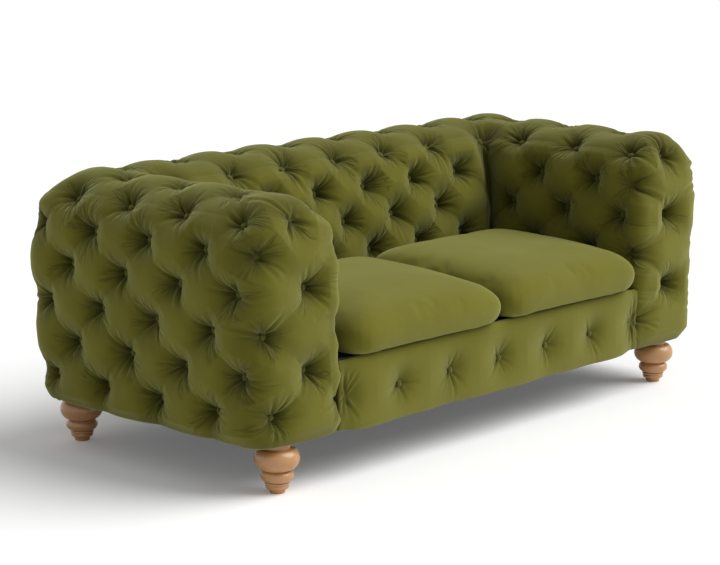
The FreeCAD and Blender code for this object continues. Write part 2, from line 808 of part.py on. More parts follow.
def all_nodes():
    """Every node with its shape. The plain functions give the right side, which +X is on."""
    feet_y = {"front": FOOT_FRONT_Y, "rear": FOOT_REAR_Y}
    arm = arm_cover()
    foam = arm_foam()
    nodes = {
        "right_arm_cover": arm,
        "left_arm_cover": mirrored(arm),
        "right_arm_facing": facing(FACING_RIGHT),
        "left_arm_facing": mirrored(facing(FACING_LEFT)),
        "back_cover": back_cover(),
        "front_rail_cover": front_rail_cover(),
        "right_arm_buttons": buttons(arm_buttons()),
        "left_arm_buttons": mirrored(buttons(arm_buttons())),
        "right_facing_buttons": buttons(facing_buttons(FACING_RIGHT)),
        "left_facing_buttons": mirrored(buttons(facing_buttons(FACING_LEFT))),
        "back_buttons": buttons(back_buttons()),
        "front_rail_buttons": buttons(rail_buttons()),
        "right_arm_foam": foam,
        "left_arm_foam": mirrored(foam),
        "back_foam": back_foam(),
        "front_seat_rail": front_seat_rail(),
        "back_seat_rail": back_seat_rail(),
        "right_seat_rail": side_seat_rail(),
        "left_seat_rail": mirrored(side_seat_rail()),
        "centre_cross_rail": centre_cross_rail(),
        "frame_screws": frame_screws(),
        "foot_blocks": both_sides([mounting_plate(FACE_Y, FOOT_FRONT_Y),
                                   mounting_plate(BACK_RAIL_Y - PLATE, FOOT_REAR_Y)]),
        "right_arm_front_board": arm_front_board(),
        "left_arm_front_board": mirrored(arm_front_board()),
        "right_arm_top_rail": arm_top_rail(),
        "left_arm_top_rail": mirrored(arm_top_rail()),
        "arm_rear_posts": both_sides([arm_rear_post()]),
        "arm_tack_rails": both_sides([arm_tack_rail()]),
        "arm_cross_pieces": both_sides([arm_rear_cross_piece()]),
        "arm_webbing": both_sides([arm_webbing()]),
        "back_posts": Part.makeCompound([back_post(x) for x in (-POST_X, 0.0, POST_X)]),
        "back_top_rail": back_top_rail(),
        "back_tack_rail": back_tack_rail(),
        "back_tack_blocks": Part.makeCompound([back_tack_bracket(x) for x in (-POST_X, 0.0, POST_X)]),
        "back_webbing": back_webbing(),
        "zigzag_springs": zigzag_springs(),
        "spring_clips": spring_clips(),
        "spring_tie_wires": spring_tie_wires(),
        "deck_pad": deck_pad(),
        "deck_cloth": deck_cloth(),
        "dust_cover": dust_cover(),
    }
    for end, y in feet_y.items():
        nodes[f"right_{end}_foot"] = foot(y)
        nodes[f"left_{end}_foot"] = mirrored(foot(y))
    nodes["hanger_bolts"] = both_sides([hanger_bolt(y) for y in feet_y.values()])
    nodes["threaded_inserts"] = both_sides([threaded_insert(y) for y in feet_y.values()])
    core = cushion_form(5.0)
    cover = cushion_form(0.0).cut(core)
    nodes["right_cushion_cover"] = cover
    nodes["left_cushion_cover"] = mirrored(cover)
    nodes["right_cushion_foam"] = core
    nodes["left_cushion_foam"] = mirrored(core)
    nodes["right_cushion_zip"] = zip_fastener()
    nodes["left_cushion_zip"] = mirrored(zip_fastener())
    return nodes


def main():
    os.makedirs("parts", exist_ok=True)
    whole = FreeCAD.BoundBox()
    for name, shape in all_nodes().items():
        solids = shape.Solids
        whole.add(shape.BoundBox)
        print(f"{name}: {len(solids)} solids, {len(shape.Faces)} faces, "
              f"{sum(s.Volume for s in solids) / 1e6:.3f} litres, valid {shape.isValid()}")
        shape.exportStep(f"parts/{name}.step")
    print(f"whole: x {whole.XMin:.1f} {whole.XMax:.1f}, y {whole.YMin:.1f} {whole.YMax:.1f}, "
          f"z {whole.ZMin:.1f} {whole.ZMax:.1f}")


main()
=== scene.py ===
# %% [markdown]
# A two-seat deep-buttoned velvet sofa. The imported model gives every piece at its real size, in metres.
# This lesson dresses it: the buttoned covers, the loose cushions and the covered buttons are modelled
# anew over the plain solids, and every piece that stays gets its own finish.

# %% Load the frame
import json
import math

import bpy
import numpy as np
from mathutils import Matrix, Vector


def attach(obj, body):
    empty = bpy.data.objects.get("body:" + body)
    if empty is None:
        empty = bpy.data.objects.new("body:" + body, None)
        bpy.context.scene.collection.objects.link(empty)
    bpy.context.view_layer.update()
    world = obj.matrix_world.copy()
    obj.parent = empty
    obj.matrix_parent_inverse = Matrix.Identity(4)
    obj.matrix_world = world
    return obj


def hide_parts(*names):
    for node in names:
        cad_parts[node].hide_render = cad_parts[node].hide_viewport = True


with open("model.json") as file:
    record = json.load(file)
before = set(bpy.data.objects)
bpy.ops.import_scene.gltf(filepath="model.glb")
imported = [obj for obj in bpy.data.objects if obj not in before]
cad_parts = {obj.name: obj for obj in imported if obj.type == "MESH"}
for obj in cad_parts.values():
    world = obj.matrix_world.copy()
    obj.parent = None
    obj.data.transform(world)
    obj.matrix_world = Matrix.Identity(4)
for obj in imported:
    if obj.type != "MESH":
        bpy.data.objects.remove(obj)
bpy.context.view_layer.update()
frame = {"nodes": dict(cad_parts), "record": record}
nodes = frame["nodes"]
print("nodes:", len(nodes))

# %% [markdown]
# The camera stands six metres off, in front of the left arm, with a long lens, so that the sides hardly
# converge.
# Its place and direction were worked out from the grid of buttons in the photograph.

# %% Camera
CAMERA_PLACE = Vector((-4.6146, -4.1568, 1.5916))
CAMERA_TURN = -0.827        # turned to the right from the +Y direction, radians
CAMERA_DIP = 0.1956         # looking down, radians
LENS = 114.0                # millimetres, on a 36 mm wide picture

camera = bpy.data.objects.new("camera", bpy.data.cameras.new("camera"))
bpy.context.scene.collection.objects.link(camera)
camera.location = CAMERA_PLACE
camera.rotation_euler = (math.pi / 2 - CAMERA_DIP, 0, CAMERA_TURN)
camera.data.lens = LENS
camera.data.sensor_width = 36
bpy.context.scene.camera = camera
bpy.context.scene.view_settings.view_transform = "Standard"
print("camera at", tuple(camera.location))

# %% [markdown]
# Modelling works on what is selected, and the loaded nodes all are. These helpers clear the selection,
# make one piece active, and apply a modifier as by hand.

# %% Helpers for modelling
def choose(*pieces):
    bpy.ops.object.select_all(action="DESELECT")
    for piece in pieces:
        piece.select_set(True)
    bpy.context.view_layer.objects.active = pieces[0]


def applied(piece, kind, **settings):
    """Adds a modifier and applies it at once."""
    choose(piece)
    modifier = piece.modifiers.new(kind.lower(), kind)
    for name, value in settings.items():
        setattr(modifier, name, value)
    bpy.ops.object.modifier_apply(modifier=modifier.name)


def points_of(mesh):
    co = np.empty(len(mesh.vertices) * 3)
    mesh.vertices.foreach_get("co", co)
    return co.reshape(-1, 3)


def normals_of(mesh):
    no = np.empty(len(mesh.vertices) * 3)
    mesh.vertices.foreach_get("normal", no)
    return no.reshape(-1, 3)


def move_points(mesh, co):
    mesh.vertices.foreach_set("co", np.ascontiguousarray(co, dtype=np.float32).ravel())
    mesh.update()


def store(piece, name, values):
    """Keeps one value or one vector for each point, for the piece's material."""
    values = np.asarray(values, dtype=np.float32)
    kind, field = ("FLOAT", "value") if values.ndim == 1 else ("FLOAT_VECTOR", "vector")
    attribute = piece.data.attributes.new(name, kind, "POINT")
    attribute.data.foreach_set(field, values.ravel())


def remeshed(piece, voxel):
    choose(piece)
    piece.data.remesh_voxel_size = voxel
    piece.data.remesh_voxel_adaptivity = 0
    bpy.ops.object.voxel_remesh()


# %% [markdown]
# A padded cover is a long tube of cloth and filling. It starts as a cylinder that is cut into rings, and
# every ring is then moved onto one section of the real form. This works for the arms and back, which are
# one tube swept in a U, as well as for the front rail.

# %% A tube through sections
def tube(name, sections):
    """sections: array of [section, point, xyz]. The result is closed, with its normals outwards."""
    rings = len(sections)
    around = len(sections[0])
    bpy.ops.object.select_all(action="DESELECT")
    bpy.ops.mesh.primitive_cylinder_add(vertices=around, radius=1, depth=1, end_fill_type="NGON")
    piece = bpy.context.object
    piece.name = piece.data.name = name
    for edge in piece.data.edges:
        low, high = (piece.data.vertices[i].co.z for i in edge.vertices)
        edge.select = abs(low - high) > 0.5
    bpy.ops.object.mode_set(mode="EDIT")
    bpy.ops.mesh.select_mode(type="EDGE")
    bpy.ops.mesh.subdivide(number_cuts=rings - 2)
    bpy.ops.object.mode_set(mode="OBJECT")
    co = points_of(piece.data)
    ring = np.rint((co[:, 2] + 0.5) * (rings - 1)).astype(int)
    turn = np.arctan2(co[:, 0], co[:, 1])
    place = np.rint(turn / (2 * math.pi) * around).astype(int) % around
    move_points(piece.data, sections[ring, place])
    bpy.ops.object.mode_set(mode="EDIT")
    bpy.ops.mesh.select_all(action="SELECT")
    bpy.ops.mesh.normals_make_consistent(inside=False)
    bpy.ops.object.mode_set(mode="OBJECT")
    return piece


def curve_through(points, steps):
    """A smooth curve through points: a Catmull-Rom spline."""
    p = np.array(points, dtype=float)
    p = np.vstack([2 * p[0] - p[1], p, 2 * p[-1] - p[-2]])
    out = []
    for p0, p1, p2, p3 in zip(p, p[1:], p[2:], p[3:]):
        for f in np.arange(steps) / steps:
            bend = (p2 - p0) * f + (2 * p0 - 5 * p1 + 4 * p2 - p3) * f * f
            out.append(p1 + (bend + (3 * p1 - p0 - 3 * p2 + p3) * f ** 3) / 2)
    out.append(p[-2])
    return np.array(out)


# %% [markdown]
# The buttons of the arms and back sit in rings round the sofa, alternate rings half a pitch apart. The
# rings are given by their distance from the sofa's middle and their height, in the outer ring first, over
# the top, and down inside to the seat. The tube runs through these rings, and pillows rise between them.

# %% The tube under the pillows
ARM_RINGS = ((0.866, 0.132), (0.874, 0.200), (0.882, 0.301), (0.888, 0.403), (0.893, 0.506), (0.891, 0.601),
             (0.868, 0.672), (0.785, 0.717), (0.676, 0.684), (0.648, 0.605), (0.642, 0.510), (0.642, 0.405),
             (0.640, 0.310), (0.622, 0.213), (0.624, 0.132))
BACK_RINGS = ((0.410, 0.132), (0.403, 0.200), (0.406, 0.301), (0.409, 0.403), (0.411, 0.506), (0.411, 0.601),
              (0.388, 0.672), (0.290, 0.717), (0.190, 0.684), (0.168, 0.603), (0.150, 0.515), (0.143, 0.425),
              (0.143, 0.320), (0.143, 0.285), (0.143, 0.255))
BASE = 0.132                # underside of the covers
HALF_PITCH = 0.1
FRONT = -0.392              # front of the arms, under the pillows
FRONT_ROUND = 0.045         # rounding of an arm's front, on the outside and top
INNER_ROUND = 0.010         # the same beside the seat
ARM_MIDDLE = 0.765
STEPS = 5                   # points from one ring to the next
OUTER_CORNER = 0.055        # rounding of the rear corners, outside and inside
INNER_CORNER = 0.012
SEAT_SIDE = 0.305           # behind the front rail the arm's inner side ends just under the seat
SEAT_RING = 12              # the last ring above the seat
INNER_BASE_Z = 0.255        # where the covers end under the seat
RAIL_END = -0.33
INNER_FROM = 0.72           # nearer to the middle than this, the front takes the inner rounding
INNER_BLEND = 0.06
TOP_FROM = 0.55             # above this height, the front is also rounded downwards
TOP_OVER = 0.12


def core_sections():
    """Sections from the front of the right arm round the back to the front of the left arm."""
    arm = curve_through(ARM_RINGS, STEPS)
    back = curve_through(BACK_RINGS, STEPS)
    ring = np.arange(len(arm)) / STEPS
    corner = np.interp(ring, [0, 6, 8, 14], [OUTER_CORNER, OUTER_CORNER, INNER_CORNER, INNER_CORNER])
    arm_x, low_z = arm.T
    back_y, back_z = back.T
    last = len(ARM_RINGS) - 1
    under_seat = np.interp(ring, [SEAT_RING, last], [SEAT_SIDE, INNER_BASE_Z])
    short_z = np.where(ring > SEAT_RING, under_seat, low_z)
    arm_z = low_z
    sections = []
    for angle in np.linspace(0, math.pi / 2, 8):
        amount = FRONT_ROUND * (1 - math.sin(angle))
        y = FRONT + FRONT_ROUND * (1 - math.cos(angle))
        inner = np.clip((INNER_FROM - arm_x) / INNER_BLEND, 0, 1)
        aside = amount * (1 - inner) + INNER_ROUND * (1 - math.sin(angle)) * inner
        aside = np.minimum(aside, abs(arm_x - ARM_MIDDLE) * 0.8)
        x = arm_x - np.sign(arm_x - ARM_MIDDLE) * aside
        z = arm_z - amount * np.clip((arm_z - TOP_FROM) / TOP_OVER, 0, 1)
        sections.append(np.c_[x, np.full(len(x), y), z])
    for y in np.linspace(FRONT + FRONT_ROUND, 0.0, 14)[1:]:
        arm_z = low_z if y < RAIL_END else short_z
        sections.append(np.c_[arm_x, np.full(len(arm), y), arm_z])
    for share in np.linspace(0, 1, 5)[1:]:
        sections.append(np.c_[arm_x, share * (back_y - corner), arm_z])
    for angle in np.linspace(0, math.pi / 2, 9)[1:]:
        share = angle / (math.pi / 2)
        x = arm_x - corner * (1 - math.cos(angle))
        y = back_y - corner * (1 - math.sin(angle))
        sections.append(np.c_[x, y, arm_z * (1 - share) + back_z * share])
    for share in np.linspace(1, 0, 12)[1:]:
        sections.append(np.c_[share * (arm_x - corner), back_y, back_z])
    right = np.array(sections)
    left = right[::-1][1:] * (-1, 1, 1)
    return np.concatenate([right, left])


VOXEL = 0.0062
covers = tube("covers", core_sections())
remeshed(covers, VOXEL)
applied(covers, "SMOOTH", factor=0.5, iterations=6)
applied(covers, "SUBSURF", levels=1, render_levels=1)
print("tube under the pillows:", len(covers.data.vertices), "points")

# %% [markdown]
# Each button has a name: its side, its column along the sofa, and its ring. Pleats run from every button
# to its diagonal neighbours. Where a pleat runs out at the base or in a corner, it ends at a free point.
# The places on the fronts are given one by one, because the two arms start their repeat at other places.

# %% Buttons and pleats of the arms and back
TOP = 7                     # the ring along the top
FIRST_COLUMN_Y = -0.342
# The cover is pulled back a little in these rings.
RING_SHIFT = {4: 0.008, 5: 0.020, 6: 0.012, 7: 0.008}
# Buttons on an arm's front, as distance from the middle and y: first rings 1, 3 and 5 of the outer column,
# then rings 2, 4 and 6 of the middle column.
LEFT_FRONT = (
    ((0.836, -0.394), (0.860, -0.386), (0.868, -0.374)),
    ((0.722, -0.392), (0.722, -0.392), (0.775, -0.374)),
)
RIGHT_FRONT = (
    ((0.905, -0.350), (0.905, -0.350), (0.905, -0.350)),
    ((0.769, -0.392), (0.769, -0.392), (0.757, -0.380)),
)
INNER_FRONT = {"left": (0.640, -0.352), "right": (0.632, -0.384)}
SEAM_BUTTON = (0.613, -0.400, 0.213)    # in the fold between an arm and the front rail
CORNER_X = ARM_RINGS[11][0]
CORNER_BUTTON = (0.178, 0.684)          # y and z, where an arm meets the back
CORNER_CREASE = {"low": (0.143, 0.30), "mid": (0.143, 0.41), "high": (0.148, 0.515), "top": (0.158, 0.60)}
BASE_X = 0.852
BASE_Y = 0.410                          # behind the back
BASE_FRONT = -0.398
INNER_BASE = (0.618, -0.396)

button_at = {}
free_at = {}
pleats = []


def pleat(a, b, sunk=False):
    """Notes a pleat, if both of its ends are there."""
    known = button_at.keys() | free_at.keys()
    if a in known and b in known:
        pleats.append((a, b, sunk))


def arm_lattice(name, side, front_columns):
    """Buttons of one arm and its front. side is -1 on the left and 1 on the right."""
    for column in range(8):
        y = FIRST_COLUMN_Y + HALF_PITCH * column
        for ring in range(1, 13):
            if ring % 2 != column % 2:
                continue
            x, z = ARM_RINGS[ring]
            longest = 8 if ring < TOP else (6 if ring == TOP else 5)
            if column < longest:
                button_at[name, column, ring] = (side * x, y + RING_SHIFT.get(ring, 0), z)
    outer, middle = front_columns
    inner_x, inner_y = INNER_FRONT[name]
    for ring, (x, y) in zip((1, 3, 5), outer):
        button_at[name, "outer", ring] = (side * x, y, ARM_RINGS[ring][1])
        button_at[name, "inner", ring] = (side * inner_x, inner_y, ARM_RINGS[ring][1])
    for ring, (x, y) in zip((2, 4, 6), middle):
        button_at[name, "middle", ring] = (side * x, y, ARM_RINGS[ring][1])
    button_at[name, "inner", 1] = (side * SEAM_BUTTON[0], *SEAM_BUTTON[1:])
    button_at[name, "corner", 8] = (side * CORNER_X, *CORNER_BUTTON)
    for place, (y, z) in CORNER_CREASE.items():
        free_at[name, place, "corner"] = (side * CORNER_X, y, z)
    for column in range(1, 8, 2):
        free_at[name, column, 0] = (side * BASE_X, FIRST_COLUMN_Y + HALF_PITCH * column, BASE)
    free_at[name, "outer", 0] = (side * outer[0][0], BASE_FRONT, BASE)
    free_at[name, "inner", 0] = (side * INNER_BASE[0], INNER_BASE[1], BASE)


def arm_pleats(name):
    for ring in range(0, 13):
        for column in range(8):
            for step in (-1, 1):
                pleat((name, column, ring), (name, column + step, ring + 1))
    for column in range(1, 8, 2):
        pleat((name, column, 1), (name, column, 0))
    for ring in (1, 3, 5):
        for step in (-1, 1):
            pleat((name, 0, ring + step), (name, "outer", ring))
            pleat((name, "outer", ring), (name, "middle", ring + step))
            pleat((name, "middle", ring + step), (name, "inner", ring))
            pleat((name, "inner", ring), (name, 0, 14 - ring - step))
    pleat((name, 1, TOP), (name, "middle", 6))
    pleat((name, "outer", 1), (name, "outer", 0))
    pleat((name, "inner", 1), (name, "inner", 0))
    crease = [(name, "corner", 8)] + [(name, part, "corner") for part in ("top", "high", "mid", "low")]
    for a, b in zip(crease, crease[1:]):
        pleat(a, b, sunk=True)
    pleat((name, "corner", 8), (name, 4, 8))
    for ring, part in ((8, "top"), (10, "top"), (10, "mid"), (12, "mid")):
        pleat((name, 4, ring), (name, part, "corner"))


def back_lattice():
    """Buttons of the back, outside and inside. The inner ones end where the arms begin."""
    for column in range(-8, 9):
        for ring in range(1, 13):
            if ring % 2 != abs(column) % 2:
                continue
            y, z = BACK_RINGS[ring]
            if ring <= TOP or abs(column) < 6:
                button_at["back", column, ring] = (column * HALF_PITCH, y, z)
        if column % 2:
            free_at["back", column, 0] = (column * HALF_PITCH, BASE_Y, BASE)


def back_pleats():
    for column in range(-8, 9):
        for ring in range(1, 12):
            for step in (-1, 1):
                pleat(("back", column, ring), ("back", column + step, ring + 1))
        pleat(("back", column, 1), ("back", column, 0))
    for name, side in (("left", -1), ("right", 1)):
        corner = (name, "corner", 8)
        pleat(corner, ("back", side * 7, TOP))
        pleat(corner, ("back", side * 5, TOP))
        pleat(corner, ("back", side * 5, 9))
        pleat(("back", side * 5, 9), (name, "high", "corner"))
        pleat(("back", side * 5, 11), (name, "high", "corner"))
        pleat(("back", side * 5, 11), (name, "low", "corner"))
        pleat((name, 5, TOP), ("back", side * 7, TOP))
        for ring in (1, 3, 5):
            for step in (-1, 1):
                pleat((name, 7, ring), ("back", side * 8, ring + step))


arm_lattice("left", -1, LEFT_FRONT)
arm_lattice("right", 1, RIGHT_FRONT)
back_lattice()
arm_pleats("left")
arm_pleats("right")
back_pleats()
places = {**button_at, **free_at}
print("buttons:", len(button_at), "pleats:", len(pleats))

# %% [markdown]
# Velvet over foam is drawn in hard at a button and swells between them. The height over the tube is worked
# out at every point: a wide funnel round each button, a broad valley with a thin fold along each pleat, and
# short gathers that fan out from the buttons. A cloth simulation of so many points would take too long to
# run at every render, so the points are moved by formula.

# %% Heights of buttoned cloth
class Cloth:
    """The points of one cover, with a quick search for those near a place."""

    def __init__(self, piece):
        self.mesh = piece.data
        self.co = points_of(self.mesh)
        self.normal = self.calm_normals(normals_of(self.mesh))
        self.order = np.argsort(self.co[:, 0])
        self.sorted_x = self.co[self.order, 0]
        count = len(self.co)
        self.to_button = np.full(count, 1.0)
        self.to_pleat = np.full(count, 1.0)
        self.sunk = np.zeros(count)
        self.folds = np.zeros(count)
        self.fan = np.zeros((count, 2))
        self.button_number = np.zeros(count)

    def calm_normals(self, normal, rounds=6):
        """Normals evened out over their neighbours, so that pillows rise smoothly off an edge."""
        ends = np.empty(len(self.mesh.edges) * 2, dtype=np.int32)
        self.mesh.edges.foreach_get("vertices", ends)
        a, b = ends.reshape(-1, 2).T
        both = np.r_[a, b]
        other = np.r_[b, a]
        for _ in range(rounds):
            normal = np.c_[tuple(np.bincount(both, normal[other, axis], len(normal)) for axis in range(3))]
            normal /= np.linalg.norm(normal, axis=1)[:, None]
        return normal

    def near(self, centre, reach):
        first = np.searchsorted(self.sorted_x, centre[0] - reach)
        last = np.searchsorted(self.sorted_x, centre[0] + reach)
        index = self.order[first:last]
        gap = abs(self.co[index] - centre)
        return index[(gap[:, 1] < reach) & (gap[:, 2] < reach)]


def ripple(co, length, seed, waves=6):
    """Smooth uneven values of about -1 to 1 over the surface."""
    draw = np.random.default_rng(seed)
    total = np.zeros(len(co))
    for _ in range(waves):
        way = draw.normal(size=3)
        way /= np.linalg.norm(way)
        pitch = (2 * math.pi / length) * draw.uniform(0.7, 1.4)
        total += np.sin(co @ way * pitch + draw.uniform(0, 2 * math.pi))
    return total / math.sqrt(waves / 2)


BUTTON_SEARCH = 0.14        # metres; further away a button has no effect
PLEAT_SEARCH = 0.08         # the same for a pleat
SWAY = 0.004                # how far a pleat bows
SWAY_LENGTH = 0.13
CORNER_WIDE = 0.048         # half the width of a corner that is drawn in


def measure_buttons(cloth, centres):
    """Distance to the nearest button."""
    for centre in centres:
        index = cloth.near(centre, BUTTON_SEARCH)
        away = np.linalg.norm(cloth.co[index] - centre, axis=1)
        cloth.to_button[index] = np.minimum(cloth.to_button[index], away)


def measure_pleats(cloth, lines):
    """Distance to the nearest pleat, along lines that bow a little away from the buttons."""
    sway = np.c_[tuple(ripple(cloth.co, SWAY_LENGTH, seed) for seed in (1, 2, 3))] * SWAY
    bowed = cloth.co + sway * np.clip(cloth.to_button / 0.05, 0, 1)[:, None]
    for start, end, sunk in lines:
        a = np.array(start)
        along = np.array(end) - a
        length = np.linalg.norm(along)
        index = cloth.near(a + along / 2, length / 2 + PLEAT_SEARCH)
        from_a = bowed[index] - a
        share = np.clip(from_a @ along / length ** 2, 0, 1)
        away = np.linalg.norm(from_a - share[:, None] * along, axis=1)
        if sunk:
            cloth.sunk[index] = np.maximum(cloth.sunk[index], np.exp(-(away / CORNER_WIDE) ** 2))
        closer = away < cloth.to_pleat[index]
        chosen = index[closer]
        cloth.to_pleat[chosen] = away[closer]


def tangents(normal):
    """Two directions along the cloth, sideways and upwards."""
    normal = normal / np.linalg.norm(normal)
    up = np.array((0.0, 0.0, 1.0)) if abs(normal[2]) < 0.9 else np.array((0.0, 1.0, 0.0))
    aside = np.cross(up, normal)
    aside /= np.linalg.norm(aside)
    return aside, np.cross(normal, aside)


FOLDS_PER_BUTTON = 15
FOLD_LENGTHS = (0.030, 0.080)
FOLD_WIDTHS = (0.0020, 0.0034)
FOLD_BEND = 2.2
FOLD_BEGINS = 0.004                     # metres from the button
FOLD_LIMITS = (-0.004, 0.0075)          # highest ridge and deepest groove, metres
AT_BUTTON = 0.03                        # points this near give the direction that the cover faces


def gather(cloth, centre, ways, seed, depth=0.0052, reach=0.095):
    """Narrow folds that fan out from a button: most of them near its pleats, some between."""
    index = cloth.near(centre, reach)
    offset = cloth.co[index] - centre
    away = np.linalg.norm(offset, axis=1)
    close = away < reach
    index, offset, away = index[close], offset[close], away[close]
    if len(index) == 0:
        return
    closest = away < AT_BUTTON
    facing = index[closest] if closest.any() else index
    aside, upward = tangents(cloth.normal[facing].mean(axis=0))
    across = offset @ aside
    rise = offset @ upward
    own = away <= cloth.to_button[index] + 1e-6
    cloth.fan[index[own]] = np.c_[across[own], rise[own]]
    cloth.button_number[index[own]] = seed % 97
    draw = np.random.default_rng(seed)
    main = [math.atan2(np.dot(way, upward), np.dot(way, aside)) for way in ways]
    total = np.zeros(len(index))
    for fold in range(FOLDS_PER_BUTTON):
        if main and fold % 3:
            angle = main[draw.integers(len(main))] + draw.normal() * 0.30
        else:
            angle = draw.uniform(0, 2 * math.pi)
        length = draw.uniform(*FOLD_LENGTHS)
        bend = draw.normal() * FOLD_BEND
        width = draw.uniform(*FOLD_WIDTHS)
        along = across * math.cos(angle) + rise * math.sin(angle)
        beside = rise * math.cos(angle) - across * math.sin(angle) - bend * along * along
        share = np.clip(along / length, 0, 1)
        strength = np.clip((along - FOLD_BEGINS) / 0.008, 0, 1) * (1 - share) ** 0.8 * (along > 0)
        spread = width * (1 + 1.2 * share)
        ridge = np.exp(-((abs(beside) - 2.2 * spread) / spread) ** 2)
        groove = np.exp(-(beside / spread) ** 2) - 0.45 * ridge
        total += depth * draw.uniform(0.5, 1.1) * strength * groove
    cloth.folds[index] += np.clip(total, *FOLD_LIMITS)


PILLOW = 0.042              # crest of a pillow over the buttons
FUNNEL = 0.036              # how wide the cloth is drawn in round a button
TOP_FLATTER = 0.42          # the pillows along the top are that much lower
PIT = 0.011                 # how far a button is drawn in below the tube
PIT_WIDE = 0.021            # radius of that pit
FUNNEL_POWER = 1.45         # more makes the funnel steeper
VALLEY = 0.16               # share of the height that a pleat's broad valley takes
VALLEY_WIDE = 0.032
CREASE = 0.15               # share that its thin fold takes, deepest near the buttons
CREASE_WIDE = 0.006


def heights(cloth, pillow, funnel):
    """Height over the tube, without the gathers."""
    swell = 1 + 0.05 * ripple(cloth.co, 0.35, 11)
    draw_in = 1 - np.exp(-(cloth.to_button / funnel) ** FUNNEL_POWER)
    crisp = CREASE * (0.40 + 1.5 * np.exp(-(cloth.to_button / 0.05) ** 2))
    valley = VALLEY * np.exp(-(cloth.to_pleat / VALLEY_WIDE) ** 2)
    thin_fold = crisp * np.exp(-cloth.to_pleat / CREASE_WIDE)
    return pillow * swell * draw_in * (1 - valley - thin_fold)


def pleat_ways(name):
    """Directions in which the pleats leave a button."""
    ways = []
    for a, b, _ in pleats:
        if a == name:
            ways.append(np.subtract(places[b], places[a]))
        if b == name:
            ways.append(np.subtract(places[a], places[b]))
    return ways


# %% [markdown]
# Now the points are moved. The pillows are lower along the top and in the corners, where the cloth is
# drawn in, and they run out at the base, where it is pulled under the frame. The cover keeps three
# attributes for its material: how deep a point lies, by which the material paints shade into the pits,
# where it lies from its button, and a number for each button, so that no two of them have the same gathers.

# %% Buttoned arms and back
BASE_ROUND = 0.035          # height over which the pillows grow from the base
CORNER_DRAW = 0.85          # share of a pillow's height that is lost in a corner
UNDERSIDE = 0.25            # below this height, cloth that faces down stays flat
FACES_DOWN = -0.6           # the upward part of the direction that such cloth faces
TOP_BEGINS = 0.25           # the upward part at which the lower pillows of the top begin
TOP_BLEND = 0.45

cloth = Cloth(covers)
measure_buttons(cloth, [np.array(p) for p in button_at.values()])
measure_pleats(cloth, [(places[a], places[b], sunk) for a, b, sunk in pleats])
for seed, (name, centre) in enumerate(button_at.items()):
    gather(cloth, np.array(centre), pleat_ways(name), 100 + seed)
flatter = 1 - TOP_FLATTER * np.clip((cloth.normal[:, 2] - TOP_BEGINS) / TOP_BLEND, 0, 1)
rise = heights(cloth, PILLOW, FUNNEL) * (1 - CORNER_DRAW * cloth.sunk) * flatter - cloth.folds
rise = np.maximum(rise, 0) - PIT * np.exp(-(cloth.to_button / PIT_WIDE) ** 2)
at_base = np.sqrt(np.clip((cloth.co[:, 2] - BASE + 0.004) / BASE_ROUND, 0, 1))
hidden = (cloth.normal[:, 2] < FACES_DOWN) & (cloth.co[:, 2] < UNDERSIDE)
rise = np.where(hidden, 0.0, rise * at_base)
# How deep a point lies: the velvet paints shade into the pits by it.
store(covers, "depth", np.clip(rise / PILLOW, 0, 1))
store(covers, "fan", np.c_[cloth.fan, cloth.to_button])
store(covers, "button_number", cloth.button_number)
move_points(covers.data, cloth.co + cloth.normal * rise[:, None])
covers.data.shade_smooth()
print("crest of the pillows: %.0f mm" % (rise.max() * 1000))

# %% [markdown]
# The arms meet the back in a mitre. The swept cover is cut there into three, as the real covers are sewn,
# and each cut is closed.

# %% Cut the cover at its mitres
MITRE = 0.475               # an arm meets the back where |x| = y + MITRE


def cut_off(piece, point, normal):
    """Removes what lies on the normal's side and closes the cut."""
    choose(piece)
    bpy.ops.object.mode_set(mode="EDIT")
    bpy.ops.mesh.select_all(action="SELECT")
    bpy.ops.mesh.bisect(plane_co=point, plane_no=normal, use_fill=True, clear_outer=True)
    bpy.ops.object.mode_set(mode="OBJECT")


def copied(piece, name):
    choose(piece)
    bpy.ops.object.duplicate()
    twin = bpy.context.object
    twin.name = twin.data.name = name
    return twin


left_arm = copied(covers, "left_arm_upholstery")
right_arm = copied(covers, "right_arm_upholstery")
cut_off(left_arm, (0, -MITRE, 0), (1, 1, 0))
cut_off(right_arm, (0, -MITRE, 0), (-1, 1, 0))
back = covers
back.name = back.data.name = "back_upholstery"
cut_off(back, (0, -MITRE, 0), (1, -1, 0))
cut_off(back, (0, -MITRE, 0), (-1, -1, 0))
for piece in (left_arm, right_arm, back):
    print(piece.name, len(piece.data.vertices), "points")

# %% [markdown]
# The front rail has a thin padded cover with one row of buttons, drawn in less than those above. It is the
# same kind of tube, short and straight, with a fold at each end where it meets an arm.

# %% Front rail cover
RAIL_SECTION = ((-0.377, 0.133), (-0.398, 0.134), (-0.407, 0.150), (-0.409, 0.213), (-0.406, 0.285),
                (-0.398, 0.302), (-0.377, 0.303))
RAIL_HALF = 0.622           # the cover runs on a little behind the arms
RAIL_BUTTON_Z = 0.213
RAIL_FACE = -0.409
RAIL_PITCH = 0.2
RAIL_VOXEL = 0.005
RAIL_PILLOW = 0.025
RAIL_FUNNEL = 0.044
END_X = 0.614               # the fold at each end, which bows towards the sofa's middle
END_MIDDLE_X = 0.606
END_Y = -0.405

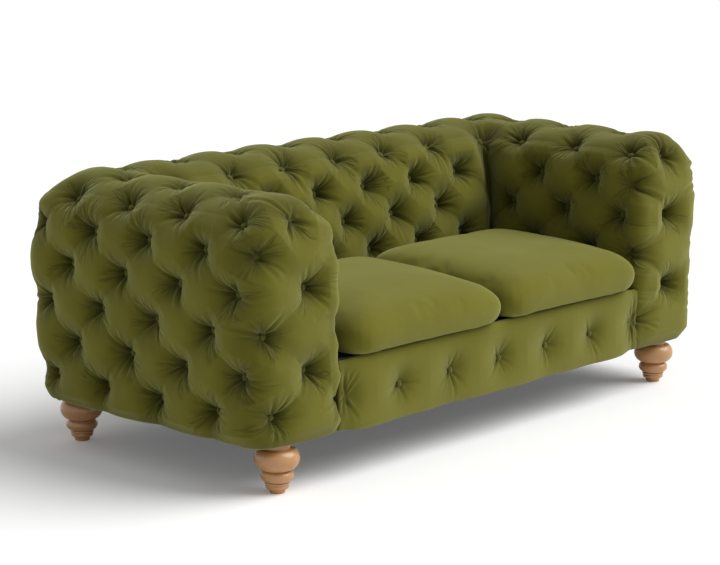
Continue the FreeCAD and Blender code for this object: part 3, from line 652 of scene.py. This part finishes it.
profile = curve_through(RAIL_SECTION, 4)
rail_sections = [np.c_[np.full(len(profile), x), profile] for x in np.linspace(-RAIL_HALF, RAIL_HALF, 25)]
rail_cover = tube("front_rail_upholstery", np.array(rail_sections))
remeshed(rail_cover, RAIL_VOXEL)
applied(rail_cover, "SMOOTH", factor=0.5, iterations=4)
applied(rail_cover, "SUBSURF", levels=1, render_levels=1)
rail_cloth = Cloth(rail_cover)
rail_buttons = [np.array((k * RAIL_PITCH, RAIL_FACE, RAIL_BUTTON_Z)) for k in range(-3, 4)]
measure_buttons(rail_cloth, rail_buttons)
end_folds = []
for side in (-1, 1):
    top = (side * END_X, END_Y, 0.300)
    middle = (side * END_MIDDLE_X, RAIL_FACE, RAIL_BUTTON_Z)
    low = (side * END_X, END_Y, 0.134)
    end_folds += [(top, middle, True), (middle, low, True)]
measure_pleats(rail_cloth, end_folds)
for seed, centre in enumerate(rail_buttons):
    at_end = seed in (0, len(rail_buttons) - 1)
    ways = [np.array((0.0, 0.0, way)) for way in (-1, 1)] if at_end else []
    gather(rail_cloth, centre, ways, 500 + seed, depth=0.0044 if at_end else 0.0018, reach=0.085)
rail_rise = heights(rail_cloth, RAIL_PILLOW, RAIL_FUNNEL) * (1 - 0.35 * rail_cloth.sunk)
rail_rise = rail_rise - rail_cloth.folds
faces_front = np.clip((-rail_cloth.normal[:, 1] - 0.3) / 0.5, 0, 1)
rail_rise = np.maximum(rail_rise, 0) * faces_front
# Painted shade for the velvet: the rail's pits and flat parts are painted darker, its pillows lighter.
store(rail_cover, "depth", np.clip(0.25 + rail_rise / 0.028, 0, 1))
move_points(rail_cover.data, rail_cloth.co + rail_cloth.normal * rail_rise[:, None])
rail_cover.data.shade_smooth()
print("front rail cover:", len(rail_cover.data.vertices), "points")

# %% [markdown]
# A covered button is a metal cap with cloth drawn over it. One is shaped from a small sphere, flattened
# below, and copied to every place, turned to the direction that the cover faces there.

# %% Covered buttons
BUTTON_R = 0.0095
BUTTON_HIGH = 0.0062
BUTTON_BACK = 0.003         # thickness below the rim
BUTTON_PAINTED_SHADE = 0.4           # depth that the material reads: painted shade, darker than open cloth, as in a pit
BUTTON_LIFT = 0.0025        # over the cloth


def covered_button():
    """One button at the origin, facing up, with a slightly fluted rim."""
    bpy.ops.object.select_all(action="DESELECT")
    bpy.ops.mesh.primitive_uv_sphere_add(segments=16, ring_count=10, radius=1)
    piece = bpy.context.object
    co = points_of(piece.data)
    around = np.hypot(co[:, 0], co[:, 1])
    swell = 1 + 0.05 * np.cos(8 * np.arctan2(co[:, 1], co[:, 0])) * np.clip(around, 0, 1) * (co[:, 2] < 0.6)
    co[:, 0] *= BUTTON_R * swell
    co[:, 1] *= BUTTON_R * swell
    co[:, 2] = np.where(co[:, 2] > 0, co[:, 2] * BUTTON_HIGH, co[:, 2] * BUTTON_BACK)
    move_points(piece.data, co)
    piece.data.shade_smooth()
    return piece


def button_group(name, spots):
    """spots: list of (place, outward direction)."""
    pattern = covered_button()
    copies = []
    for place, way in spots:
        twin = copied(pattern, name)
        turn = Vector(way).to_track_quat("Z", "Y").to_matrix().to_4x4()
        turn.translation = place
        twin.data.transform(turn)
        copies.append(twin)
    bpy.data.objects.remove(pattern)
    choose(*copies)
    bpy.ops.object.join()
    group = bpy.context.object
    group.name = group.data.name = name
    # The buttons are painted darker, as shade in their pits.
    store(group, "depth", np.full(len(group.data.vertices), BUTTON_PAINTED_SHADE))
    return group


def spots_on(cloth, centres, pit):
    """Place and direction of each button. The cloth lies deeper than its even tube by pit."""
    spots = []
    for centre in centres:
        centre = np.array(centre)
        index = cloth.near(centre, 0.06)
        away = np.linalg.norm(cloth.co[index] - centre, axis=1)
        nearest = index[np.argmin(away)]
        seat = cloth.co[nearest]
        way = cloth.normal[index[away < away.min() + 0.012]].mean(axis=0)
        way /= np.linalg.norm(way)
        spots.append((Vector(seat + way * (BUTTON_LIFT - pit)), Vector(way)))
    return spots


button_groups = {}
for side in ("left", "right"):
    centres = [p for name, p in button_at.items() if name[0] == side]
    button_groups[side] = button_group(f"{side}_arm_covered_buttons", spots_on(cloth, centres, PIT))
centres = [p for name, p in button_at.items() if name[0] == "back"]
button_groups["back"] = button_group("back_covered_buttons", spots_on(cloth, centres, PIT))
button_groups["rail"] = button_group("rail_covered_buttons", spots_on(rail_cloth, rail_buttons[1:-1], 0.0))
print("button groups:", [len(g.data.polygons) for g in button_groups.values()])

# %% [markdown]
# The loose cushions are foam in a wrap of fibre: crowned all over, with a full round nose over the rail.
# A box with bevelled edges would look hard. So each starts as a rounded form a little too small and is
# blown up as cloth, which draws the sides in between the corners as a sewn cover does. It is then fitted
# to its room between arm, back and neighbour. Where it lies on the deck it is flat.

# %% Seat cushions
CUSHION_SIDES = (0.0010, 0.5935)
CUSHION_ENDS = (-0.460, 0.0895)
CUSHION_LOW = 0.3055
CUSHION_SEAM = 0.350
CUSHION_TOP = 0.457
CUSHION_BELOW = 0.125
PLAN_POWER = 10.0           # nearly square in plan
NOSE_POWER = 2.2            # a long round fall to the nose
REAR_POWER = 4.0            # fuller at the back
PUFF = 0.010                # how far a point may move as the cushion is blown up
UNEVEN = 0.0016             # slow waves that are left in the cloth
CLOTH_FRAMES = 16
CLOTH_PRESSURE = 4.0


def cushion_form(name):
    """A sphere drawn out to a rounded slab: square in plan, with its own fall at each end."""
    bpy.ops.object.select_all(action="DESELECT")
    bpy.ops.mesh.primitive_uv_sphere_add(segments=96, ring_count=64, radius=1)
    piece = bpy.context.object
    piece.name = piece.data.name = name
    x, y, z = points_of(piece.data).T
    power = np.interp(y, [-0.5, 0.5], [NOSE_POWER, REAR_POWER])
    plan = (abs(x) ** PLAN_POWER + abs(y) ** PLAN_POWER) ** (power / PLAN_POWER)
    grown = (plan + abs(z) ** power) ** (-1 / power)
    half_x = (CUSHION_SIDES[1] - CUSHION_SIDES[0]) / 2 - PUFF * 0.6
    half_y = (CUSHION_ENDS[1] - CUSHION_ENDS[0]) / 2 - PUFF * 0.6
    upper = CUSHION_TOP - CUSHION_SEAM - PUFF
    co = np.c_[x * grown * half_x, y * grown * half_y, z * grown * np.where(z > 0, upper, CUSHION_BELOW)]
    co += (sum(CUSHION_SIDES) / 2, sum(CUSHION_ENDS) / 2, CUSHION_SEAM)
    co[:, 2] = np.maximum(co[:, 2], CUSHION_LOW)
    move_points(piece.data, co)
    remeshed(piece, 0.008)
    return piece


def blown_up(piece, frames, pressure, cap):
    """Cloth under pressure, with the way that each point may move kept short."""
    start = points_of(piece.data)
    choose(piece)
    modifier = piece.modifiers.new("cloth", "CLOTH")
    settings = modifier.settings
    settings.quality = 5
    settings.mass = 0.3
    settings.use_pressure = True
    settings.uniform_pressure_force = pressure
    settings.tension_stiffness = 25
    settings.compression_stiffness = 25
    settings.shear_stiffness = 12
    settings.bending_stiffness = 4
    settings.effector_weights.gravity = 0
    modifier.point_cache.frame_start = 1
    modifier.point_cache.frame_end = frames
    for step in range(1, frames + 1):
        bpy.context.scene.frame_set(step)
    bpy.ops.object.modifier_apply(modifier="cloth")
    bpy.context.scene.frame_set(1)
    move = points_of(piece.data) - start
    length = np.linalg.norm(move, axis=1)[:, None] + 1e-9
    move_points(piece.data, start + move * np.minimum(1, cap / length))


def finished_cushion(name, mirror):
    """A cushion in its room on the right, or mirrored to the left."""
    piece = cushion_form(name)
    blown_up(piece, CLOTH_FRAMES, CLOTH_PRESSURE, PUFF)
    applied(piece, "SMOOTH", factor=0.5, iterations=5)
    applied(piece, "SUBSURF", levels=1, render_levels=1)
    co = points_of(piece.data)
    uneven = ripple(co, 0.5, 31 if mirror else 32) * UNEVEN
    co = co + normals_of(piece.data) * uneven[:, None]
    room = np.array([CUSHION_SIDES, CUSHION_ENDS, (CUSHION_LOW, CUSHION_TOP)])
    low, high = co.min(axis=0), co.max(axis=0)
    co = room[:, 0] + (co - low) / (high - low) * (room[:, 1] - room[:, 0])
    co[:, 2] = np.maximum(co[:, 2], CUSHION_LOW + 0.0002)
    if mirror:
        co[:, 0] *= -1
    move_points(piece.data, co)
    if mirror:
        choose(piece)
        bpy.ops.object.mode_set(mode="EDIT")
        bpy.ops.mesh.select_all(action="SELECT")
        bpy.ops.mesh.flip_normals()
        bpy.ops.object.mode_set(mode="OBJECT")
    piece.data.shade_smooth()
    store(piece, "depth", np.ones(len(piece.data.vertices)))
    print(name, len(piece.data.vertices), "points, top", round(float(co[:, 2].max()), 4))
    return piece


left_cushion = finished_cushion("left_seat_cushion", True)
right_cushion = finished_cushion("right_seat_cushion", False)

# %% [markdown]
# Materials are node trees. Adding each node by hand is long-winded, so one small class wraps a socket and
# turns Python's sums and products into Math nodes, and another adds any other node from its type, its
# settings and its sockets. Every pattern reads Object coordinates or an attribute of the piece.

# %% Materials: helper
class Socket:
    """Wraps a shader socket, so that sums and products of sockets add Math nodes."""

    def __init__(self, shader, output):
        self.shader = shader
        self.output = output

    def maths(self, operation, *values):
        return self.shader.node("ShaderNodeMath", {"operation": operation}, dict(enumerate(values)))

    def __add__(self, other):
        return self.maths("ADD", self, other)

    def __mul__(self, other):
        return self.maths("MULTIPLY", self, other)

    def __sub__(self, other):
        return self.maths("SUBTRACT", self, other)

    def __rsub__(self, other):
        return self.maths("SUBTRACT", other, self)

    def __truediv__(self, other):
        return self.maths("DIVIDE", self, other)

    def __pow__(self, other):
        return self.maths("POWER", self, other)

    def __abs__(self):
        return self.maths("ABSOLUTE", self)

    def sine(self):
        return self.maths("SINE", self)

    def between_0_and_1(self):
        return self.shader.node("ShaderNodeClamp", {}, {"Value": self})

    __radd__ = __add__
    __rmul__ = __mul__


class Shader:
    """One procedural material."""

    def __init__(self, name):
        self.material = bpy.data.materials.new(name)
        self.material.use_nodes = True
        self.tree = self.material.node_tree
        self.surface = self.tree.nodes["Principled BSDF"]

    def node(self, kind, settings=None, sockets=None, output=0):
        new = self.tree.nodes.new(kind)
        for name, value in (settings or {}).items():
            setattr(new, name, value)
        for name, value in (sockets or {}).items():
            self.put(new.inputs[name], value)
        return Socket(self, new.outputs[output])

    def put(self, target, value):
        if isinstance(value, Socket):
            self.tree.links.new(value.output, target)
        else:
            target.default_value = value

    def set(self, **values):
        for name, value in values.items():
            self.put(self.surface.inputs[name.replace("_", " ")], value)

    def place(self):
        return self.node("ShaderNodeTexCoord", output=3)

    def noise(self, scale, detail=3.0, stretch=(1, 1, 1)):
        spot = self.node("ShaderNodeMapping", {}, {"Vector": self.place(), "Scale": stretch})
        return self.node("ShaderNodeTexNoise", {}, {"Vector": spot, "Scale": scale, "Detail": detail})

    def attribute(self, name, output):
        return self.node("ShaderNodeAttribute", {"attribute_name": name}, output=output)

    def parts(self, vector):
        return [self.node("ShaderNodeSeparateXYZ", {}, {"Vector": vector}, output=i) for i in range(3)]

    def blended(self, factor, a, b):
        """A Mix node for colours that are sockets or have four values."""
        return self.node("ShaderNodeMix", {"data_type": "RGBA"}, {0: factor, 6: a, 7: b}, output=2)

    def mixed(self, factor, a, b):
        return self.blended(factor, (*a, 1), (*b, 1))

    def bumped(self, height, strength, distance):
        sockets = {"Height": height, "Strength": strength, "Distance": distance}
        return self.node("ShaderNodeBump", {}, sockets)


# %% [markdown]
# Velvet has a short pile that is dark where one looks into it and light where it is seen at a low angle.
# The shader's sheen does this, over a dark base. The depth of a point paints shade into the pits, and the
# thin gathers are painted darker too. Gathers beside the buttons are too thin for the mesh, so bump makes
# them: noise that is read by its direction from the button alone runs in lines away from it.

# %% Velvet
GATHER_START = 0.006        # metres from a button
GATHER_REACH = 0.030
GATHER_MORE = 0.055         # added in some directions
GATHER_FADE = 0.03
DIRECTION_SCALE = 2.3       # more gives more gathers round a button
FOLD_THIN = 11


def gathers(shader):
    """1 in a thin fold beside a button, 0 away from it."""
    across, upward, away = shader.parts(shader.attribute("fan", 1))
    number = shader.attribute("button_number", 2)
    length = (across * across + upward * upward) ** 0.5 + 0.0001
    spot = shader.node("ShaderNodeCombineXYZ", {}, {
        "X": across / length * DIRECTION_SCALE,
        "Y": upward / length * DIRECTION_SCALE,
        "Z": away * 9.0 + number * 3.7,
    })
    lines = shader.node("ShaderNodeTexNoise", {}, {"Vector": spot, "Scale": 1.9, "Detail": 1.0})
    patches = shader.node("ShaderNodeTexNoise", {}, {"Vector": spot, "Scale": 0.45, "Detail": 0.0})
    fold = (1 - abs(lines - 0.5) * FOLD_THIN).between_0_and_1()
    reach = GATHER_REACH + ((patches - 0.42) * 4).between_0_and_1() * GATHER_MORE
    begins = ((away - GATHER_START) / 0.006).between_0_and_1()
    ends = ((reach - away) / GATHER_FADE).between_0_and_1()
    return fold * (ends * begins)


def velvet_material():
    shader = Shader("olive_velvet")
    depth = shader.attribute("depth", 2)
    pile = shader.noise(9.0, 2.0)
    brushed = shader.noise(45.0, 3.0, (1, 1, 0.35))
    fuzz = shader.noise(900.0, 2.0)
    folds = gathers(shader)
    tone = pile * 0.55 + brushed * 0.30 + fuzz * 0.15
    open_cloth = shader.mixed(tone, (0.104, 0.097, 0.008), (0.162, 0.152, 0.017))
    # Painted shade: the colour is darker in the pits, by depth, and along the thin folds of the gathers.
    painted_pit_shade = shader.mixed(tone, (0.026, 0.024, 0.001), (0.042, 0.039, 0.001))
    unshaded_share = (depth ** 0.95) * (1 - folds * 0.55)
    shader.set(Base_Color=shader.blended(unshaded_share, painted_pit_shade, open_cloth), Roughness=0.80 + fuzz * 0.14,
               Normal=shader.bumped(fuzz * 0.12 - folds, 0.7, 0.0022),
               Sheen_Weight=0.62, Sheen_Roughness=0.50, Sheen_Tint=(0.55, 0.57, 0.27, 1),
               Specular_IOR_Level=0.10)
    return shader.material


velvet = velvet_material()
dressed = [left_arm, right_arm, back, rail_cover, left_cushion, right_cushion, *button_groups.values()]
for piece in dressed:
    piece.data.materials.clear()
    piece.data.materials.append(velvet)
print("velvet on", len(dressed), "pieces")

# %% [markdown]
# The frame, springs, webbing, foam and feet keep their solids and get finishes of their own. Wood is noise
# stretched along the length, steel is cloudy and smooth, cloths have crossing threads, foam has cells and
# felt has matted fibres. The record says which finish each node takes.

# %% Finishes of the pieces that stay
def wood(name, light, dark, gloss, scale=1.0):
    shader = Shader(name)
    warp = shader.noise(2.2 * scale, 3.0, (1, 1, 0.3))
    grain = shader.noise(38.0 * scale, 5.0, (1, 1, 0.07))
    pores = shader.noise(260.0 * scale, 2.0, (1, 1, 0.05))
    tone = warp * 0.45 + grain * 0.40 + pores * 0.15
    shader.set(Base_Color=shader.mixed(tone, dark, light), Roughness=gloss + pores * 0.18,
               Normal=shader.bumped(pores * 0.6 + grain * 0.4, 0.12, 0.0006))
    return shader


def turned_wood():
    shader = wood("lacquered_turned_wood", (0.60, 0.33, 0.135), (0.37, 0.165, 0.055), 0.30)
    shader.set(Coat_Weight=0.35, Coat_Roughness=0.12)
    return shader.material


def steel(name, colour, rough):
    shader = Shader(name)
    cloudy = shader.noise(60.0, 4.0)
    fine = shader.noise(700.0, 2.0)
    shader.set(Base_Color=shader.mixed(cloudy, tuple(c * 0.8 for c in colour), colour), Metallic=0.95,
               Roughness=rough + cloudy * 0.15, Normal=shader.bumped(fine, 0.1, 0.0003))
    return shader.material


def woven(name, light, dark, threads, depth=0.0006):
    """Cloth with a plain weave: threads cross at the given number per metre."""
    shader = Shader(name)
    x, y, z = shader.parts(shader.place())
    pitch = threads * 2 * math.pi
    over = ((x + y) * pitch).sine()
    under = ((z + y * 0.5 - x * 0.5) * pitch).sine()
    weave = over * under * 0.5 + 0.5
    fibre = shader.noise(400.0, 3.0)
    tone = weave * 0.6 + fibre * 0.4
    shader.set(Base_Color=shader.mixed(tone, dark, light), Roughness=0.85 + fibre * 0.1,
               Normal=shader.bumped(tone, 0.4, depth))
    return shader.material


def open_foam():
    shader = Shader("open_foam")
    cells = shader.node("ShaderNodeTexVoronoi", {}, {"Vector": shader.place(), "Scale": 420.0})
    cloudy = shader.noise(12.0, 3.0)
    shader.set(Base_Color=shader.mixed(cloudy * 0.6 + cells * 0.4, (0.72, 0.66, 0.46), (0.88, 0.84, 0.68)),
               Roughness=0.88 + cloudy * 0.08, Normal=shader.bumped(cells, 0.5, 0.0008))
    return shader.material


def pressed_felt():
    shader = Shader("pressed_felt")
    fibres = shader.noise(240.0, 5.0, (1, 0.35, 1))
    flecks = shader.noise(55.0, 3.0)
    shader.set(Base_Color=shader.mixed(fibres * 0.6 + flecks * 0.4, (0.20, 0.19, 0.18), (0.52, 0.50, 0.47)),
               Roughness=0.9 + fibres * 0.08, Normal=shader.bumped(fibres, 0.5, 0.0008))
    return shader.material


finishes = {
    "turned_wood": turned_wood(),
    "beech": wood("bare_beech", (0.70, 0.50, 0.31), (0.52, 0.33, 0.18), 0.55).material,
    "plywood": wood("plywood", (0.74, 0.58, 0.38), (0.56, 0.40, 0.24), 0.6, 0.7).material,
    "spring_steel": steel("spring_wire", (0.38, 0.38, 0.40), 0.32),
    "zinc_steel": steel("zinc_plating", (0.66, 0.67, 0.70), 0.28),
    "foam": open_foam(),
    "felt": pressed_felt(),
    "jute": woven("jute_webbing", (0.55, 0.41, 0.25), (0.26, 0.18, 0.10), 400),
    "black_cloth": woven("black_lining", (0.05, 0.05, 0.05), (0.012, 0.012, 0.013), 900, 0.0003),
    "zip": woven("zip_tape", (0.12, 0.12, 0.03), (0.05, 0.05, 0.01), 700, 0.0004),
    "velvet": velvet,
}
for row in frame["record"]["subparts"]:
    node = nodes[row["node"]]
    node.data.materials.clear()
    node.data.materials.append(finishes[row["material_slot"]])
print("finishes:", len(finishes))

# %% [markdown]
# Every new piece rides on a body, so that it moves with it, and the nodes that it stands for are hidden. A
# cushion stands for its cover and its foam core, because the core would show through where the cover is
# drawn in.

# %% Attach the pieces and hide the parts that they replace
for piece, side in ((left_arm, "left"), (right_arm, "right")):
    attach(piece, "sofa")
    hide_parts(f"{side}_arm_cover", f"{side}_arm_facing")
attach(back, "sofa")
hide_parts("back_cover")
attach(rail_cover, "sofa")
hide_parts("front_rail_cover")
for piece, side in ((left_cushion, "left"), (right_cushion, "right")):
    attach(piece, f"{side}_cushion")
    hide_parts(f"{side}_cushion_cover", f"{side}_cushion_foam")
for group in button_groups.values():
    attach(group, "sofa")
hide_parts("left_arm_buttons", "left_facing_buttons")
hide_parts("right_arm_buttons", "right_facing_buttons")
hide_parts("back_buttons")
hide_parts("front_rail_buttons")
print("declared:", len(dressed), "pieces")

# %% [markdown]
# A plain white studio: a large sheet of paper, a soft wide window high in front on the right, and a white
# room all round that fills the shadows. The paper glows a little for the camera alone, which makes it
# white in the picture and leaves the light on the sofa as it is.

# %% Floor, light and background
bpy.ops.mesh.primitive_plane_add(size=1)
floor = bpy.context.object
floor.name = "floor"
move_points(floor.data, points_of(floor.data) * (30, 30, 1))
FLOOR_GLOW = 0.10           # for the camera alone: the floor looks white and keeps its shadow
paper = Shader("paper")
paper.set(Base_Color=(0.92, 0.92, 0.92, 1), Roughness=0.9, Specular_IOR_Level=0.0)
seen = paper.node("ShaderNodeLightPath", output=0)
paper.set(Emission_Color=(1, 1, 1, 1), Emission_Strength=seen * FLOOR_GLOW)
floor.data.materials.append(paper.material)

SKY_LIGHT = 0.38            # strength of the room's light, while the room itself looks fully white
world = bpy.data.worlds.new("studio")
bpy.context.scene.world = world
world.use_nodes = True
background = world.node_tree.nodes["Background"]
background.inputs["Color"].default_value = (1, 1, 1, 1)
rays = world.node_tree.nodes.new("ShaderNodeLightPath")
seen_rays = rays.outputs["Is Camera Ray"]
for ray in ("Is Glossy Ray", "Is Transmission Ray"):
    either = world.node_tree.nodes.new("ShaderNodeMath")
    either.operation = "MAXIMUM"
    world.node_tree.links.new(seen_rays, either.inputs[0])
    world.node_tree.links.new(rays.outputs[ray], either.inputs[1])
    seen_rays = either.outputs[0]
strength = world.node_tree.nodes.new("ShaderNodeMapRange")
strength.inputs["To Min"].default_value = SKY_LIGHT
strength.inputs["To Max"].default_value = 1.0
world.node_tree.links.new(seen_rays, strength.inputs["Value"])
world.node_tree.links.new(strength.outputs[0], background.inputs["Strength"])


def lamp_towards(name, kind, direction, **settings):
    """A lamp that shines along a direction."""
    lamp = bpy.data.lights.new(name, kind)
    for key, value in settings.items():
        setattr(lamp, key, value)
    holder = bpy.data.objects.new(name, lamp)
    bpy.context.scene.collection.objects.link(holder)
    holder.location = Vector(direction) * -5
    holder.rotation_euler = Vector(direction).to_track_quat("-Z", "Y").to_euler()


WINDOW_WAY = (-0.46, 0.48, -0.74)
lamp_towards("window", "SUN", WINDOW_WAY, energy=2.9, angle=math.radians(50))
print("floor, room and window are set")
